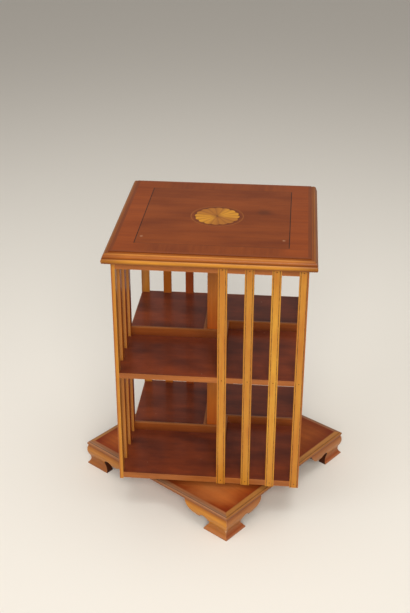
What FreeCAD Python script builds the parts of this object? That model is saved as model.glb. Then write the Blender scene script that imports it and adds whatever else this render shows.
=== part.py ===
import FreeCAD, Part
import math
import operator
import os

import Sketcher
from FreeCAD import Placement, Rotation, Vector

# Revolving bookcase: a square two-tier case of boards and beaded slats that turns on a ball-bearing
# turntable over a moulded base board with four ogee bracket feet.
# Millimetres. The origin is on the floor under the spin axis, Z is up and the case's front faces -Y.
# The base stands turned under the case, as the object was found.

# Driving sizes
# Every size that can be set by itself has one row here: its name, its value and what it measures.
DRIVING_SIZES = (
    ("case_width", 419.0, "across the shelf edges"),
    ("bottom_shelf_thickness", 14.5, "bottom shelf"),
    ("middle_shelf_thickness", 12.8, "middle shelf"),
    ("top_board_thickness", 16.0, "board under the top, seen as a frieze"),
    ("lower_bay_height", 259.4, "clear height between bottom and middle shelf"),
    ("upper_bay_height", 257.8, "clear height between middle shelf and top board"),
    ("column_width", 40.0, "square centre post"),
    ("dowel_radius", 6.0, "dowels in the posts"),
    ("dowel_in_post", 21.0, "depth of a dowel hole in a post"),
    ("dowel_in_board", 9.0, "depth of a dowel hole in the outer boards"),
    ("dowel_end_gap", 0.5, "glue space at each end of a dowel"),
    ("slat_width", 20.3, "across a slat"),
    ("slat_thickness", 8.8, "front to back of a slat"),
    ("slat_pitch", 57.2, "from one slat to the next"),
    ("slat_proud", 0.8, "how far a slat stands out from the shelf edges"),
    ("slat_drop", 2.5, "how far the slats run below the bottom shelf"),
    ("slat_bead", 3.0, "width of the bead along each slat edge"),
    ("slat_quirk", 1.2, "width of the sunk line beside the bead"),
    ("slat_quirk_depth", 0.8, "from the top of the bead down to the sunk line"),
    ("slat_crown", 0.5, "rise of the slat's domed middle"),
    ("rail_height", 21.4, "book-stop rails"),
    ("rail_thickness", 9.4, "book-stop rails"),
    ("rail_crown", 1.6, "rise of the rails' rounded tops"),
    ("top_panel_thickness", 27.5, "top panel and its mouldings"),
    ("top_overhang", 18.5, "how far the top stands out from the shelf edges"),
    ("top_moulding_width", 22.0, "from the panel's edge to the tip of the moulding"),
    ("fillet_back", 15.0, "from the moulding's tip back to the flat strip on top"),
    ("fillet_arris", 0.6, "eased arris of the strip"),
    ("ovolo_drop", 2.8, "from the top down to the ovolo"),
    ("ovolo_top_back", 12.8, "from the tip back to the ovolo's upper edge"),
    ("ovolo_middle_back", 5.4, "from the tip back to the middle of the ovolo's curve"),
    ("ovolo_middle_drop", 2.6, "from the ovolo's upper edge down to that middle"),
    ("ovolo_foot_back", 2.6, "from the tip back to the ovolo's lower edge"),
    ("quirk_height", 1.6, "sunk line between the ovolo and the bead"),
    ("quirk_depth", 1.9, "depth of that line behind the bead"),
    ("bead_height", 11.2, "bead under the ovolo"),
    ("bead_lift", 2.6, "from the underside up to the bead"),
    ("bead_under_back", 5.2, "from the tip back to the inner edge of the bead's underside"),
    ("underside_back", 7.2, "from the tip back to the edge of the moulding's underside"),
    ("stringing_inset", 41.0, "from the moulding's inner edge back to the stringing"),
    ("stringing_width", 1.8, "width of the dark line"),
    ("inlay_thickness", 1.2, "thickness of the inlaid veneers"),
    ("patera_radius", 60.5, "outside of the light ring"),
    ("patera_ring_width", 2.2, "light ring"),
    ("fan_radius", 51.0, "to the tips of the petals"),
    ("fan_scallop", 3.6, "rise of each petal's rounded tip"),
    ("fan_eye_radius", 2.2, "dark eye in the middle of the fan"),
    ("base_half_width", 230.3, "from the axis to the tips of the toes"),
    ("base_turn", -35.9, "degrees the base is turned under the case"),
    ("base_board_thickness", 11.0, "base board and its mouldings"),
    ("base_moulding_width", 15.0, "from the base panel's edge to the tip of the moulding"),
    ("base_moulding_inset", 0.6, "how far the moulding's tip lies behind the toes"),
    ("nosing_slope_back", 12.6, "from that tip back to where the upper slope starts"),
    ("nosing_slope_drop", 1.2, "fall of the slope"),
    ("nosing_step_back", 4.2, "from the tip back to the step below the slope"),
    ("nosing_step_drop", 2.2, "from the top down to the foot of the step"),
    ("nosing_round_back", 1.0, "from the tip back to the middle of the rounded edge"),
    ("nosing_round_drop", 3.6, "from the top down to that middle"),
    ("nosing_face_top", 6.6, "from the top down to the upright face"),
    ("nosing_face_low", 8.2, "from the top down to the lower end of that face"),
    ("nosing_under_back", 1.5, "how far the underside is set back from the tip"),
    ("nosing_under_drop", 9.4, "from the top down to that setback"),
    ("foot_height", 55.5, "bracket feet"),
    ("foot_length", 129.5, "along each side from the corner"),
    ("foot_thickness", 20.0, "bracket wood, measured at the toe"),
    ("foot_brow_back", 3.0, "from the toe's face back to the foot's upper edge"),
    ("foot_belly_back", 0.1, "from the toe's face back to the fullest of the bulge"),
    ("foot_waist_back", 3.4, "from the toe's face back to where the bulge turns hollow"),
    ("foot_neck_inset", 6.4, "how far the hollow lies behind the toe"),
    ("toe_face_height", 2.5, "upright face of the toe"),
    ("toe_length", 69.0, "toe along the floor from the corner"),
    ("toe_edge_height", 3.0, "upright inner end of the toe"),
    ("notch_undercut", 11.5, "how far the scrolled notch is cut back over the toe"),
    ("notch_low", 19.0, "height where the notch's curve starts"),
    ("notch_crown_run", 1.0, "from the toe's inner end to the crown of the notch"),
    ("notch_crown_height", 35.5, "crown of the notch"),
    ("cusp_run", 15.5, "from the toe's inner end to the cusp"),
    ("cusp_height", 26.5, "cusp between the notch and the wing"),
    ("wing_bow_run", 8.0, "from the middle of the wing to the middle of its curve"),
    ("wing_end_depth", 2.5, "thin end of the wing"),
    ("glue_block_leg", 34.0, "leg of the triangular block in each foot"),
    ("glue_block_lift", 1.5, "how far the block stays off the floor"),
    ("bearing_height", 14.0, "turntable, from base board to bottom shelf"),
    ("bearing_plate_width", 116.0, "square plates"),
    ("ball_radius", 3.5, "bearing balls"),
    ("ball_circle_radius", 38.0, "circle on which the balls run"),
    ("ball_clearance", 0.15, "between a ball and its races or its pocket"),
    ("race_gap", 3.6, "between the two plates"),
    ("pivot_radius", 5.0, "centre pin of the lower plate"),
    ("pivot_play", 0.3, "space round the pin and over its end"),
    ("cage_thickness", 1.4, "ball cage"),
    ("cage_width", 13.0, "ball cage ring, inside to outside"),
    ("glue_line", 0.05, "space round a piece let into its seat"),
    ("cut_spare", 2.0, "how far a cutting outline reaches past the wood"),
)
SLATS_PER_FACE = 4
PETALS = 16
PETAL_TIP_STEPS = 5
BALLS = 12
BALL_SIDES = 8
BALL_BANDS = 4
FACES = ("front", "right", "back", "left")
BASE_SIDES = ("front_left", "front_right", "back_right", "back_left")
FEET = ("front", "right", "back", "left")
QUARTER_TURN = 90

# Shares of the foot's height at which its ogee face and its wing are drawn
BELLY_SHARE = 0.73
WAIST_SHARE = 0.48
NECK_SHARE = 0.285
WING_BOW_SHARE = 0.64

doc = FreeCAD.newDocument("revolving_bookcase")
sheet = doc.addObject("Spreadsheet::Sheet", "Sizes")
for row, (alias, value, meaning) in enumerate(DRIVING_SIZES, 1):
    sheet.set(f"A{row}", alias)
    sheet.set(f"B{row}", str(value))
    sheet.setAlias(f"B{row}", alias)
    sheet.set(f"C{row}", meaning)
doc.recompute()


class Size:
    """A length that carries its value and the sheet formula that gives it."""

    def __init__(self, formula, value):
        self.formula = formula
        self.value = value

    def __add__(self, other):
        return combined(self, "+", other)

    def __radd__(self, other):
        return combined(other, "+", self)

    def __sub__(self, other):
        return combined(self, "-", other)

    def __rsub__(self, other):
        return combined(other, "-", self)

    def __mul__(self, other):
        return combined(self, "*", other)

    def __rmul__(self, other):
        return combined(other, "*", self)

    def __truediv__(self, other):
        return combined(self, "/", other)

    def __neg__(self):
        return combined(0, "-", self)


OPERATIONS = {
    "+": operator.add,
    "-": operator.sub,
    "*": operator.mul,
    "/": operator.truediv,
}


def as_size(number):
    """A plain number as a Size."""
    if isinstance(number, Size):
        return number
    return Size(repr(float(number)), float(number))


def combined(left, sign, right):
    """Two sizes joined by an arithmetic sign."""
    first = as_size(left)
    second = as_size(right)
    formula = f"({first.formula} {sign} {second.formula})"
    return Size(formula, OPERATIONS[sign](first.value, second.value))


def size(alias):
    """A driving size, read from the sheet."""
    return Size(f"Sizes.{alias}", float(sheet.get(alias)))


def bind(thing, path, length):
    """Ties a property to its formula."""
    thing.setExpression(path, as_size(length).formula)


# Bodies, sketches and features


def new_body(label, turn=0):
    """A body whose geometry is drawn for the front side and turned about the spin axis."""
    body = doc.addObject("PartDesign::Body", label)
    body.Label = label
    body.Placement = Placement(Vector(), Rotation(Vector(0, 0, 1), turn))
    return body


def stand_on_base(body):
    """Turns a body with the base."""
    quarters = round(body.Placement.Rotation.getYawPitchRoll()[0])
    body.Placement = Placement(Vector(), Rotation(Vector(0, 0, 1), quarters + size("base_turn").value))
    body.setExpression(".Placement.Rotation.Angle", f"({size('base_turn').formula} + {quarters}) * 1 deg")


def origin_feature(body, role):
    """One of the body's own planes or axes."""
    return next(item for item in body.Origin.OriginFeatures if item.Role == role)


def new_sketch(body, name, plane, offset=0):
    """A sketch on one of the body's own planes, moved along the plane's normal."""
    sketch = body.newObject("Sketcher::SketchObject", name)
    sketch.AttachmentSupport = [(origin_feature(body, plane), "")]
    sketch.MapMode = "FlatFace"
    sketch.AttachmentOffset = Placement(Vector(0, 0, as_size(offset).value), Rotation())
    bind(sketch, "AttachmentOffset.Base.z", offset)
    return sketch


def pin(sketch, geometry, end, spot):
    """Fixes one point of a sketch by formulas for its two coordinates."""
    for kind, coordinate in zip(("DistanceX", "DistanceY"), spot):
        length = as_size(coordinate)
        index = sketch.addConstraint(Sketcher.Constraint(kind, geometry, end, length.value))
        if "Sizes." in length.formula:
            bind(sketch, f"Constraints[{index}]", length)


def flat(spot):
    """A sketch point's coordinates as a vector."""
    return Vector(as_size(spot[0]).value, as_size(spot[1]).value, 0)


def runs_clockwise(first, middle, last):
    """Whether an arc through three points turns clockwise."""
    return (middle - first).cross(last - middle).z < 0


def outline(sketch, steps):
    """Draws a closed outline. A step is a point, reached by a line, or two points, reached by an arc
    through the first of them."""
    spots = [step[-2:] for step in steps]
    joints = []
    for index, step in enumerate(steps):
        before = spots[index - 1]
        after = spots[index]
        if len(step) == 2:
            geometry = sketch.addGeometry(Part.LineSegment(flat(before), flat(after)), False)
            joints.append((geometry, 1, 2))
            continue
        middle = step[:2]
        backwards = runs_clockwise(flat(before), flat(middle), flat(after))
        ends = (after, before) if backwards else (before, after)
        geometry = sketch.addGeometry(Part.Arc(flat(ends[0]), flat(middle), flat(ends[1])), False)
        joints.append((geometry, 2, 1) if backwards else (geometry, 1, 2))
        guide = sketch.addGeometry(Part.Point(flat(middle)), True)
        pin(sketch, guide, 1, middle)
        sketch.addConstraint(Sketcher.Constraint("PointOnObject", guide, 1, geometry))
    for index, (geometry, start, end) in enumerate(joints):
        following, next_start, _ = joints[(index + 1) % len(joints)]
        sketch.addConstraint(Sketcher.Constraint("Coincident", geometry, end, following, next_start))
        pin(sketch, geometry, end, spots[index])


def rectangle(sketch, left, low, right, high):
    """Draws a rectangle from two opposite corners."""
    outline(sketch, [(left, low), (right, low), (right, high), (left, high)])


def square(sketch, half_width):
    """Draws a square about the origin."""
    rectangle(sketch, -half_width, -half_width, half_width, half_width)


def circle(sketch, across, along, radius):
    """Draws a circle."""
    centre = flat((across, along))
    geometry = sketch.addGeometry(Part.Circle(centre, Vector(0, 0, 1), as_size(radius).value), False)
    index = sketch.addConstraint(Sketcher.Constraint("Radius", geometry, as_size(radius).value))
    bind(sketch, f"Constraints[{index}]", radius)
    pin(sketch, geometry, 3, (across, along))


def volume(body):
    """The body's volume so far."""
    return 0.0 if body.Shape.isNull() else body.Shape.Volume


def settle(body, feature, before, adds):
    """Makes the feature the body's tip and checks that it adds or removes material."""
    body.Tip = feature
    doc.recompute()
    change = feature.Shape.Volume - before
    if (change > 0) != adds or abs(change) < 1e-6:
        raise RuntimeError(f"{body.Label}: {feature.Name} changes the volume by {change:.3f}")
    return feature


def pad(body, sketch, length, both_ways=False, backwards=False):
    """Extrudes a sketch."""
    before = volume(body)
    feature = body.newObject("PartDesign::Pad", sketch.Name + "_pad")
    feature.Profile = sketch
    feature.SideType = "Symmetric" if both_ways else "One side"
    feature.Reversed = backwards
    bind(feature, "Length", length)
    return settle(body, feature, before, True)


def pocket(body, sketch, depth=None, backwards=False):
    """Cuts a sketch into the body, to a depth or both ways through all of it."""
    before = volume(body)
    feature = body.newObject("PartDesign::Pocket", sketch.Name + "_pocket")
    feature.Profile = sketch
    if depth is None:
        feature.Type = "ThroughAll"
        feature.SideType = "Symmetric"
    else:
        feature.Reversed = backwards
        bind(feature, "Length", depth)
    return settle(body, feature, before, False)


def cut_round(body, sketch):
    """Cuts a sketch on the XZ plane all the way round the body's vertical axis."""
    before = volume(body)
    feature = body.newObject("PartDesign::Groove", sketch.Name + "_groove")
    feature.Profile = sketch
    feature.ReferenceAxis = (origin_feature(body, "Z_Axis"), [""])
    feature.Angle = 360
    return settle(body, feature, before, False)


def repeat_round(body, cut, count, name):
    """Repeats a cut round the vertical axis."""
    before = volume(body)
    feature = body.newObject("PartDesign::PolarPattern", name)
    feature.Originals = [cut]
    feature.Axis = (origin_feature(body, "Z_Axis"), [""])
    feature.Angle = 360
    feature.Occurrences = count
    settle(body, feature, before, False)


def group(label, solids, turned_with_base=False):
    """One node of separate equal pieces."""
    feature = doc.addObject("Part::Feature", label)
    feature.Label = label
    feature.Shape = Part.makeCompound(solids)
    if turned_with_base:
        feature.Placement = Placement(Vector(), Rotation(Vector(0, 0, 1), size("base_turn").value))
        feature.setExpression(".Placement.Rotation.Angle", f"{size('base_turn').formula} * 1 deg")
    return feature


def turned(shape, degrees):
    """A copy of a shape turned about the spin axis."""
    copy = shape.copy()
    copy.rotate(Vector(), Vector(0, 0, 1), degrees)
    return copy


# Heights, from the floor up
base_top = size("foot_height") + size("base_board_thickness")
bottom_shelf_low = base_top + size("bearing_height")
bottom_shelf_top = bottom_shelf_low + size("bottom_shelf_thickness")
middle_shelf_low = bottom_shelf_top + size("lower_bay_height")
middle_shelf_top = middle_shelf_low + size("middle_shelf_thickness")
top_board_low = middle_shelf_top + size("upper_bay_height")
top_board_top = top_board_low + size("top_board_thickness")
top_surface = top_board_top + size("top_panel_thickness")

# Distances from the spin axis
case_half = size("case_width") / 2
slat_face = case_half + size("slat_proud")
slat_back = slat_face - size("slat_thickness")
column_half = size("column_width") / 2
top_half = case_half + size("top_overhang")
top_panel_half = top_half - size("top_moulding_width")
base_half = size("base_half_width")
base_moulding_tip = base_half - size("base_moulding_inset")
base_panel_half = base_moulding_tip - size("base_moulding_width")
dowel_hole_radius = size("dowel_radius") + size("glue_line")


def slat_left_edge(number):
    """Where a slat starts on the front face; slat 4 ends flush with the next face's slats."""
    return slat_face - size("slat_width") - (SLATS_PER_FACE - number) * size("slat_pitch")


# Boards of the case


def notched_board(label, low, thickness, hole_depth=None, hole_from_top=False):
    """A square board with notches for the sixteen slats and a dowel hole."""
    body = new_body(label)
    edge = new_sketch(body, label + "_outline", "XY_Plane", low)
    square(edge, case_half)
    pad(body, edge, thickness)

    notches = new_sketch(body, label + "_notches", "XY_Plane", low)
    clear = size("glue_line")
    for number in range(1, SLATS_PER_FACE + 1):
        left = slat_left_edge(number) - clear
        right = left + size("slat_width") + 2 * clear
        if number == SLATS_PER_FACE:
            right = slat_face + clear
        rectangle(notches, left, -slat_face, right, -slat_back)
    notch_cut = pocket(body, notches)
    repeat_round(body, notch_cut, len(FACES), label + "_faces")

    hole = new_sketch(body, label + "_dowel_hole", "XY_Plane", low + thickness if hole_from_top else low)
    circle(hole, 0, 0, dowel_hole_radius)
    pocket(body, hole, hole_depth, backwards=not hole_from_top)


def case_boards():
    """Bottom shelf, middle shelf and the board under the top."""
    depth = size("dowel_in_board")
    notched_board("bottom_shelf", bottom_shelf_low, size("bottom_shelf_thickness"), depth, hole_from_top=True)
    notched_board("middle_shelf", middle_shelf_low, size("middle_shelf_thickness"))
    notched_board("case_top_board", top_board_low, size("top_board_thickness"), depth)


# Column


def column_post(label, low, height):
    """A square post with a dowel hole in each end."""
    body = new_body(label)
    section = new_sketch(body, label + "_section", "XY_Plane", low)
    square(section, column_half)
    pad(body, section, height)
    foot = new_sketch(body, label + "_foot_hole", "XY_Plane", low)
    circle(foot, 0, 0, dowel_hole_radius)
    pocket(body, foot, size("dowel_in_post"), backwards=True)
    head = new_sketch(body, label + "_head_hole", "XY_Plane", low + height)
    circle(head, 0, 0, dowel_hole_radius)
    pocket(body, head, size("dowel_in_post"))


def column():
    """Two posts and the three dowels that join them to the boards."""
    column_post("lower_column_post", bottom_shelf_top, size("lower_bay_height"))
    column_post("upper_column_post", middle_shelf_top, size("upper_bay_height"))
    gap = size("dowel_end_gap")
    spans = (
        (bottom_shelf_top - size("dowel_in_board"), bottom_shelf_top + size("dowel_in_post")),
        (middle_shelf_low - size("dowel_in_post"), middle_shelf_top + size("dowel_in_post")),
        (top_board_low - size("dowel_in_post"), top_board_low + size("dowel_in_board")),
    )
    dowels = []
    for low, high in spans:
        length = (high - low - 2 * gap).value
        start = Vector(0, 0, (low + gap).value)
        dowels.append(Part.makeCylinder(size("dowel_radius").value, length, start))
    group("column_dowels", dowels)


# Slats


def slat(label, number, turn):
    """An upright slat, beaded along both edges and slightly domed between."""
    body = new_body(label, turn)
    section = new_sketch(body, label + "_section", "XY_Plane", bottom_shelf_low - size("slat_drop"))
    left = slat_left_edge(number)
    right = left + size("slat_width")
    face = -slat_face
    bead = size("slat_bead")
    sunk = face + size("slat_quirk_depth")
    shoulder = face + size("slat_crown")
    field_left = left + bead + size("slat_quirk")
    field_right = right - bead - size("slat_quirk")
    outline(
        section,
        [
            (left, -slat_back),
            (left, sunk),
            (left + bead / 2, face, left + bead, sunk),
            (field_left, sunk),
            (field_left, shoulder),
            ((left + right) / 2, face, field_right, shoulder),
            (field_right, sunk),
            (right - bead, sunk),
            (right - bead / 2, face, right, sunk),
            (right, -slat_back),
        ],
    )
    pad(body, section, top_board_top - bottom_shelf_low + size("slat_drop"))


def slats():
    """Four slats on the right half of each face."""
    for turn, face in enumerate(FACES):
        for number in range(1, SLATS_PER_FACE + 1):
            slat(f"{face}_slat_{number}", number, turn * QUARTER_TURN)


# Book-stop rails


def rail(label, low, turn):
    """A low rail from the column's far side to the back of the first slat, with a rounded top."""
    body = new_body(label, turn)
    section = new_sketch(body, label + "_section", "XZ_Plane", -column_half)
    near = column_half
    far = column_half + size("rail_thickness")
    top = low + size("rail_height")
    shoulder = top - size("rail_crown")
    outline(section, [(near, low), (far, low), (far, shoulder), ((near + far) / 2, top, near, shoulder)])
    pad(body, section, column_half + slat_back)


def rails():
    """Four rails on each shelf, set pinwheel-fashion round the column."""
    for turn, face in enumerate(FACES):
        rail(f"lower_rail_{face}", bottom_shelf_top, turn * QUARTER_TURN)
        rail(f"upper_rail_{face}", middle_shelf_top, turn * QUARTER_TURN)


# Mitred mouldings


def mitre_ends(body, name, inner, outer):
    """Cuts both ends of a front-side length to forty-five degrees."""
    near = inner - size("cut_spare")
    far = outer + size("cut_spare")
    ends = new_sketch(body, name, "XY_Plane")
    outline(ends, [(near, -near), (far, -far), (far, -near)])
    outline(ends, [(-near, -near), (-far, -near), (-far, -far)])
    pocket(body, ends)


def top_moulding(label, turn):
    """A fillet, an ovolo and a bead worked on the edge of the top."""
    body = new_body(label, turn)
    section = new_sketch(body, label + "_section", "YZ_Plane")
    tip = -top_half
    high = top_surface
    low = top_board_top
    arris = size("fillet_arris")
    fillet = tip + size("fillet_back")
    quirk = tip + size("quirk_depth")
    bead_low = low + size("bead_lift")
    bead_high = bead_low + size("bead_height")
    ovolo_low = bead_high + size("quirk_height")
    ovolo_high = high - size("ovolo_drop")
    ovolo_middle = (tip + size("ovolo_middle_back"), ovolo_high - size("ovolo_middle_drop"))
    outline(
        section,
        [
            (-top_panel_half, low),
            (-top_panel_half, high),
            (fillet + arris, high),
            (fillet, high - arris),
            (fillet, ovolo_high),
            (tip + size("ovolo_top_back"), ovolo_high),
            ovolo_middle + (tip + size("ovolo_foot_back"), ovolo_low),
            (quirk, ovolo_low),
            (quirk, bead_high),
            (tip, (bead_low + bead_high) / 2, quirk, bead_low),
            (tip + size("bead_under_back"), bead_low),
            (tip + size("underside_back"), low),
        ],
    )
    pad(body, section, 2 * top_half, both_ways=True)
    mitre_ends(body, label + "_mitres", top_panel_half, top_half)


def base_moulding(label, turn):
    """A thin rounded nosing round the base board."""
    body = new_body(label, turn)
    section = new_sketch(body, label + "_section", "YZ_Plane")
    tip = -base_moulding_tip
    high = base_top
    low = size("foot_height")
    step = tip + size("nosing_step_back")
    under = tip + size("nosing_under_back")
    rounded = (tip + size("nosing_round_back"), high - size("nosing_round_drop"))
    outline(
        section,
        [
            (-base_panel_half, low),
            (-base_panel_half, high),
            (tip + size("nosing_slope_back"), high),
            (step, high - size("nosing_slope_drop")),
            (step, high - size("nosing_step_drop")),
            rounded + (tip, high - size("nosing_face_top")),
            (tip, high - size("nosing_face_low")),
            (under, high - size("nosing_under_drop")),
            (under, low),
        ],
    )
    pad(body, section, 2 * base_moulding_tip, both_ways=True)
    mitre_ends(body, label + "_mitres", base_panel_half, base_moulding_tip)
    stand_on_base(body)


# Top with its inlay


def top_panel():
    """The top panel, grooved for the stringing and sunk for the patera."""
    body = new_body("top_panel")
    plan = new_sketch(body, "top_panel_outline", "XY_Plane", top_board_top)
    square(plan, top_panel_half)
    pad(body, plan, size("top_panel_thickness"))
    groove = new_sketch(body, "stringing_groove", "XY_Plane", top_surface)
    stringing_outline(groove)
    pocket(body, groove, size("inlay_thickness"))
    recess = new_sketch(body, "patera_recess", "XY_Plane", top_surface)
    circle(recess, 0, 0, size("patera_radius"))
    pocket(body, recess, size("inlay_thickness"))


def stringing_outline(sketch):
    """Two squares, one stringing's width apart."""
    outside = top_panel_half - size("stringing_inset") + size("stringing_width")
    square(sketch, outside)
    square(sketch, outside - size("stringing_width"))


def stringing():
    """The thin dark line let into the top panel."""
    body = new_body("top_stringing")
    line = new_sketch(body, "stringing_line", "XY_Plane", top_surface)
    stringing_outline(line)
    pad(body, line, size("inlay_thickness"), backwards=True)


def petal():
    """One petal of the fan: straight sides from the eye and a rounded tip."""
    half_angle = math.pi / PETALS
    depth = size("inlay_thickness").value
    low = top_surface.value - depth

    def at(radius, share):
        angle = share * half_angle
        return Vector(radius * math.cos(angle), radius * math.sin(angle), low)

    eye = size("fan_eye_radius").value
    corners = [at(eye, 1), at(eye, -1)]
    for step in range(PETAL_TIP_STEPS + 1):
        share = 2 * step / PETAL_TIP_STEPS - 1
        corners.append(at(size("fan_radius").value - size("fan_scallop").value * share ** 2, share))
    return Part.Face(Part.makePolygon(corners + corners[:1])).extrude(Vector(0, 0, depth))


def patera():
    """Round inlay: light ring, dark ground with its eye, and sixteen sand-shaded petals."""
    depth = size("inlay_thickness")
    inside = size("patera_radius") - size("patera_ring_width")
    ring = new_body("patera_ring")
    band = new_sketch(ring, "patera_ring_band", "XY_Plane", top_surface)
    circle(band, 0, 0, size("patera_radius"))
    circle(band, 0, 0, inside)
    pad(ring, band, depth, backwards=True)

    petals = [turned(petal(), index * 360 / PETALS) for index in range(PETALS)]
    group("patera_fan", petals)
    start = Vector(0, 0, (top_surface - depth).value)
    disc = Part.makeCylinder(inside.value, depth.value, start)
    group("patera_ground", disc.cut(petals).Solids)


# Base


def base_board():
    """The base panel."""
    body = new_body("base_board")
    plan = new_sketch(body, "base_board_outline", "XY_Plane", size("foot_height"))
    square(plan, base_panel_half)
    pad(body, plan, size("base_board_thickness"))
    stand_on_base(body)


def foot_bracket(label, turn, hand):
    """Half of an ogee bracket foot: hand 1 is at the right end of its side, -1 at the left end."""
    body = new_body(label, turn)
    high = size("foot_height")
    toe = -base_half
    inner = toe + size("foot_thickness")
    belly = (toe + size("foot_belly_back"), high * BELLY_SHARE)
    neck = (toe + size("foot_neck_inset"), high * NECK_SHARE)
    section = new_sketch(body, label + "_section", "YZ_Plane", hand * (base_half - size("foot_length")))
    outline(
        section,
        [
            (inner, 0),
            (inner, high),
            (toe + size("foot_brow_back"), high),
            belly + (toe + size("foot_waist_back"), high * WAIST_SHARE),
            neck + (toe, size("toe_face_height")),
            (toe, 0),
        ],
    )
    pad(body, section, size("foot_length"), backwards=hand < 0)

    def along(distance):
        return hand * (base_half - distance)

    spare = size("cut_spare")
    end = size("foot_length")
    toe_end = size("toe_length")
    cusp = toe_end + size("cusp_run")
    notch_crown = (along(toe_end + size("notch_crown_run")), size("notch_crown_height"))
    wing_bow = (along((cusp + end) / 2 + size("wing_bow_run")), high * WING_BOW_SHARE)
    wing_end = high - size("wing_end_depth")
    cut = new_sketch(body, label + "_scroll", "XZ_Plane")
    outline(
        cut,
        [
            (along(toe_end), -spare),
            (along(toe_end), size("toe_edge_height")),
            (along(toe_end - size("notch_undercut")), size("notch_low")),
            notch_crown + (along(cusp), size("cusp_height")),
            wing_bow + (along(end), wing_end),
            (along(end + spare), wing_end),
            (along(end + spare), -spare),
        ],
    )
    pocket(body, cut)

    mitre = new_sketch(body, label + "_mitre", "XY_Plane")
    near = base_half - size("foot_thickness") - spare
    far = base_half + spare
    outline(mitre, [(hand * near, -near), (hand * far, -far), (hand * far, -near)])
    pocket(body, mitre)
    stand_on_base(body)


def feet():
    """Eight brackets, two to a foot, and the glue blocks behind them."""
    blocks = []
    for index, foot in enumerate(FEET):
        foot_bracket(f"{foot}_foot_left_bracket", index * QUARTER_TURN, 1)
        foot_bracket(f"{foot}_foot_right_bracket", (index + 1) * QUARTER_TURN, -1)
        blocks.append(turned(glue_block(), index * QUARTER_TURN))
    group("foot_glue_blocks", blocks, turned_with_base=True)


def glue_block():
    """A triangular block in the corner of a foot."""
    outer = (base_half - size("foot_thickness")).value
    inner = outer - size("glue_block_leg").value
    low = size("glue_block_lift").value
    corners = [Vector(outer, -outer, low), Vector(outer, -inner, low), Vector(inner, -outer, low)]
    face = Part.Face(Part.makePolygon(corners + corners[:1]))
    return face.extrude(Vector(0, 0, size("foot_height").value - low))


# Turntable

race_centre = size("bearing_height") / 2
plate_thickness = race_centre - size("race_gap") / 2
groove_depth = (size("ball_radius") + size("ball_clearance")) * math.sqrt(2)


def race_plate(label, low, groove_mouth, groove_floor):
    """A square plate with a round race, a groove with two sloping walls."""
    body = new_body(label)
    plan = new_sketch(body, label + "_plan", "XY_Plane", low)
    square(plan, size("bearing_plate_width") / 2)
    pad(body, plan, plate_thickness)
    ring = size("ball_circle_radius")
    race = new_sketch(body, label + "_race", "XZ_Plane")
    inner_lip = (ring - groove_depth, groove_mouth)
    outer_lip = (ring + groove_depth, groove_mouth)
    outline(race, [(ring, groove_floor), outer_lip, inner_lip])
    cut_round(body, race)
    return body


def plates():
    """The lower plate with its centre pin, and the upper plate that turns on it."""
    middle = base_top + race_centre
    lower = race_plate("turntable_lower_plate", base_top, middle, middle - groove_depth)
    pivot = new_sketch(lower, "pivot", "XY_Plane", base_top)
    circle(pivot, 0, 0, size("pivot_radius"))
    pad(lower, pivot, size("bearing_height") - size("pivot_play"))
    stand_on_base(lower)

    upper_low = bottom_shelf_low - plate_thickness
    upper = race_plate("turntable_upper_plate", upper_low, middle, middle + groove_depth)
    hole = new_sketch(upper, "pivot_hole", "XY_Plane", upper_low)
    circle(hole, 0, 0, size("pivot_radius") + size("pivot_play"))
    pocket(upper, hole)


def ball():
    """A bearing ball in flat facets, with corners where it meets the walls of the races."""
    radius = size("ball_radius").value

    def corner(band, side):
        tilt = math.pi * band / BALL_BANDS
        turn = math.tau * side / BALL_SIDES
        out = radius * math.sin(tilt)
        return Vector(out * math.cos(turn), out * math.sin(turn), -radius * math.cos(tilt))

    facets = []
    for band in range(BALL_BANDS):
        for side in range(BALL_SIDES):
            corners = [corner(band, side), corner(band, side + 1)]
            corners += [corner(band + 1, side + 1), corner(band + 1, side)]
            if band == 0:
                del corners[0]
            if band == BALL_BANDS - 1:
                del corners[-1]
            facets.append(Part.Face(Part.makePolygon(corners + corners[:1])))
    return Part.makeSolid(Part.makeShell(facets))


def cage_edge(sketch, radius):
    """Draws one edge of the cage, with a straight side beside each ball."""
    corners = []
    for index in range(BALLS):
        turn = math.tau * (index + 0.5) / BALLS
        corners.append((radius * math.cos(turn), radius * math.sin(turn)))
    outline(sketch, corners)


def balls_and_cage():
    """Balls between the two races, kept apart by a flat cage."""
    ring = size("ball_circle_radius")
    middle = base_top + race_centre
    cage = new_body("turntable_ball_cage")
    plan = new_sketch(cage, "cage_ring", "XY_Plane", middle)
    cage_edge(plan, ring + size("cage_width") / 2)
    cage_edge(plan, ring - size("cage_width") / 2)
    pad(cage, plan, size("cage_thickness"), both_ways=True)
    seat = new_sketch(cage, "cage_pocket", "XY_Plane", middle)
    reach = size("ball_radius") + size("ball_clearance")
    rectangle(seat, ring - reach, -reach, ring + reach, reach)
    first = pocket(cage, seat)
    repeat_round(cage, first, BALLS, "cage_pockets")
    first_ball = ball()
    first_ball.translate(Vector(ring.value, 0, middle.value))
    group("turntable_balls", [turned(first_ball, index * 360 / BALLS) for index in range(BALLS)])


def turntable():
    """Two plates with the balls in their cage between them."""
    plates()
    balls_and_cage()


def build():
    """Every piece of the bookcase."""
    case_boards()
    column()
    slats()
    rails()
    top_panel()
    stringing()
    patera()
    for turn, face in enumerate(FACES):
        top_moulding(f"top_moulding_{face}", turn * QUARTER_TURN)
    base_board()
    for turn, side in enumerate(BASE_SIDES):
        base_moulding(f"base_moulding_{side}", turn * QUARTER_TURN)
    feet()
    turntable()


def pieces():
    """The objects that are pieces: every body and every group."""
    kinds = ("PartDesign::Body", "Part::Feature")
    return [item for item in doc.Objects if item.TypeId in kinds]


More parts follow.
